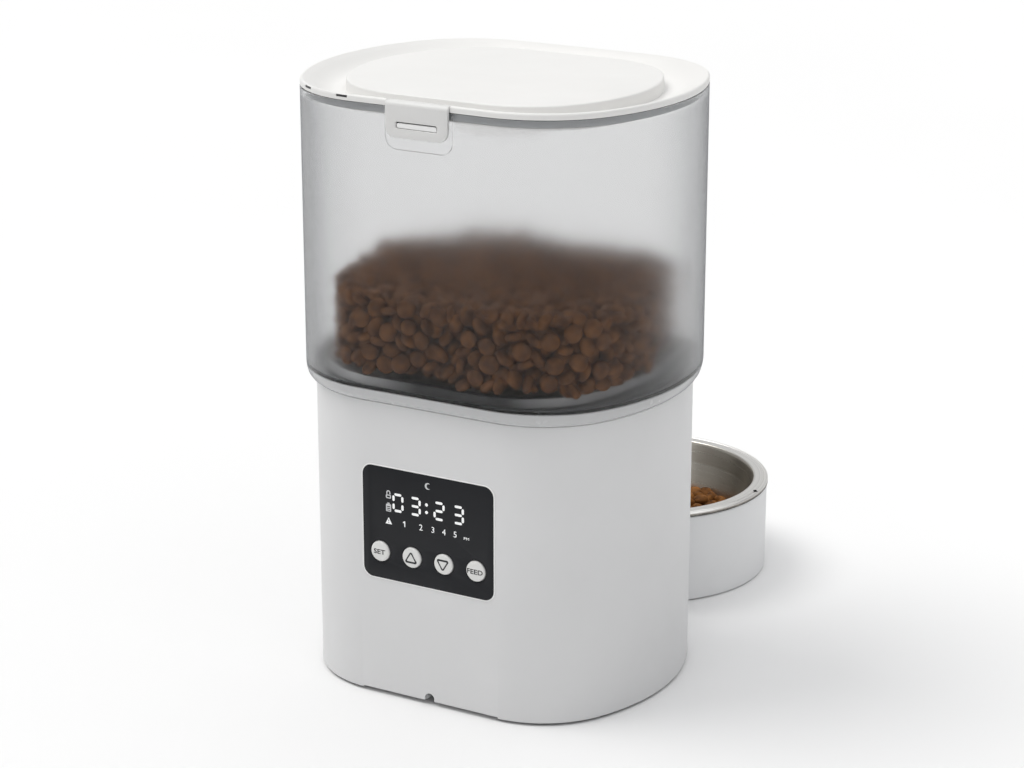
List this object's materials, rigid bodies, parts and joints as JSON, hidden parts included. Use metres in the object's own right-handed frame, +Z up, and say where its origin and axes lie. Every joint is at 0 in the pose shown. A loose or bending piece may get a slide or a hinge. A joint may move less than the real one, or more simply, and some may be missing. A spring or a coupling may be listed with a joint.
{
  "type": "automatic pet feeder",
  "caption": "Automatic dry-food feeder: a frosted hopper with a latched lid on a motor base with a portion wheel, a chute, a rear display panel and a round steel bowl in a holder.",
  "frame": {"origin": "middle of the feeder's footprint, bowl included, at floor level", "axes": "+Z up; the bowl and the food outlet are towards -Y, the display panel, the latch and the cord notch are on the flat face towards +Y; X runs across"},
  "size_m": [0.2, 0.3154, 0.3122],
  "materials": {
    "body_plastic": "satin moulded plastic",
    "lid_plastic": "semi-gloss moulded plastic",
    "tank_plastic": "frosted translucent plastic",
    "dark_plastic": "satin black plastic",
    "panel": "gloss smoked panel",
    "key": "satin keys",
    "bowl_steel": "satin stainless steel",
    "screw_steel": "zinc-plated steel",
    "bush_brass": "turned brass",
    "foot_rubber": "soft rubber",
    "seal_silicone": "grey silicone",
    "wheel_plastic": "off-white plastic",
    "board": "glass-fibre circuit board",
    "lamp": "dark tinted plastic",
    "cell": "sleeved metal can",
    "paper": "fibre paper bag"
  },
  "bodies": {
    "base": {"base_deck": "body_plastic", "drive_plate": "body_plastic", "base_shell": "body_plastic", "battery_1": "cell", "battery_2": "cell", "battery_3": "cell", "battery_contacts_left": "screw_steel", "battery_contacts_right": "screw_steel", "battery_tray": "dark_plastic", "bottom_cover": "body_plastic", "control_board": "board", "cover_screw_1": "screw_steel", "cover_screw_2": "screw_steel", "cover_screw_3": "screw_steel", "cover_screw_4": "screw_steel", "display_bezel": "panel", "feed_motor": "screw_steel", "food_chute": "body_plastic", "foot_1": "foot_rubber", "foot_2": "foot_rubber", "foot_3": "foot_rubber", "foot_4": "foot_rubber", "gearbox_base": "dark_plastic", "gearbox_cover": "dark_plastic", "idler_axle": "screw_steel", "ir_emitter": "lamp", "ir_receiver": "lamp", "led_module": "lamp", "main_board": "board", "outlet_nozzle": "body_plastic", "power_socket": "dark_plastic", "shaft_bush": "bush_brass"},
    "tank": {"hopper_tank": "tank_plastic", "hopper_floor": "dark_plastic", "portion_well": "dark_plastic", "outlet_guard": "dark_plastic", "hopper_screw_1": "screw_steel", "hopper_screw_2": "screw_steel", "hopper_screw_3": "screw_steel", "hopper_screw_4": "screw_steel"},
    "lid": {"lid_shell": "lid_plastic", "lid_seal": "seal_silicone", "lid_liner": "lid_plastic", "desiccant_bag": "paper", "latch_pin": "screw_steel"},
    "latch": {"lid_latch": "lid_plastic"},
    "bag_cap": {"desiccant_cap": "lid_plastic"},
    "rotor": {"dispensing_rotor": "wheel_plastic", "agitator": "seal_silicone"},
    "output_wheel": {"output_gear": "wheel_plastic"},
    "idler_wheel": {"idler_gear": "wheel_plastic"},
    "pinion": {"motor_pinion": "bush_brass"},
    "set_key": {"button_set": "key"},
    "up_key": {"button_up": "key"},
    "down_key": {"button_down": "key"},
    "feed_key": {"button_feed": "key"},
    "holder": {"bowl_holder": "body_plastic"},
    "bowl": {"steel_bowl": "bowl_steel"},
    "door": {"battery_door": "body_plastic"}
  },
  "joints": [
    {"name": "tank_lift", "type": "slide", "parent": "base", "child": "tank", "axis": [0, 0, 1], "range_m": [0, 0.09]},
    {"name": "lid_lift", "type": "slide", "parent": "tank", "child": "lid", "axis": [0, 0, 1], "range_m": [0, 0.045]},
    {"name": "latch_swing", "type": "hinge", "parent": "lid", "child": "latch", "pos_m": [0, 0.15365, 0.3105], "axis": [1, 0, 0], "range_deg": [0, 40]},
    {"name": "bag_cap_twist", "type": "hinge", "parent": "lid", "child": "bag_cap", "pos_m": [0, 0.07305, 0.287], "axis": [0, 0, 1], "range_deg": [0, 30]},
    {"name": "wheel_spin", "type": "hinge", "parent": "tank", "child": "rotor", "pos_m": [0, 0.07305, 0.13], "axis": [0, 0, 1], "continuous": true},
    {"name": "output_spin", "type": "hinge", "parent": "base", "child": "output_wheel", "pos_m": [0, 0.07305, 0.108], "axis": [0, 0, 1], "continuous": true},
    {"name": "idler_spin", "type": "hinge", "parent": "base", "child": "idler_wheel", "pos_m": [0, 0.09255, 0.105], "axis": [0, 0, 1], "continuous": true},
    {"name": "pinion_spin", "type": "hinge", "parent": "base", "child": "pinion", "pos_m": [0, 0.11205, 0.1], "axis": [0, 0, 1], "continuous": true},
    {"name": "set_press", "type": "slide", "parent": "base", "child": "set_key", "axis": [0, -1, 0], "range_m": [0, 0.0012], "stiffness_N_per_m": 300, "springref_m": -0.0005},
    {"name": "up_press", "type": "slide", "parent": "base", "child": "up_key", "axis": [0, -1, 0], "range_m": [0, 0.0012], "stiffness_N_per_m": 300, "springref_m": -0.0005},
    {"name": "down_press", "type": "slide", "parent": "base", "child": "down_key", "axis": [0, -1, 0], "range_m": [0, 0.0012], "stiffness_N_per_m": 300, "springref_m": -0.0005},
    {"name": "feed_press", "type": "slide", "parent": "base", "child": "feed_key", "axis": [0, -1, 0], "range_m": [0, 0.0012], "stiffness_N_per_m": 300, "springref_m": -0.0005},
    {"name": "holder_pull", "type": "slide", "parent": "base", "child": "holder", "axis": [0, -1, 0], "range_m": [0, 0.04]},
    {"name": "bowl_lift", "type": "slide", "parent": "holder", "child": "bowl", "axis": [0, 0, 1], "range_m": [0, 0.06]},
    {"name": "door_drop", "type": "slide", "parent": "base", "child": "door", "axis": [0, 0, -1], "range_m": [0, 0.03]}
  ],
  "couplings": [
    {"joint": "output_spin", "follows": "wheel_spin", "ratio": 1},
    {"joint": "idler_spin", "follows": "wheel_spin", "ratio": -2},
    {"joint": "pinion_spin", "follows": "wheel_spin", "ratio": 4}
  ]
}
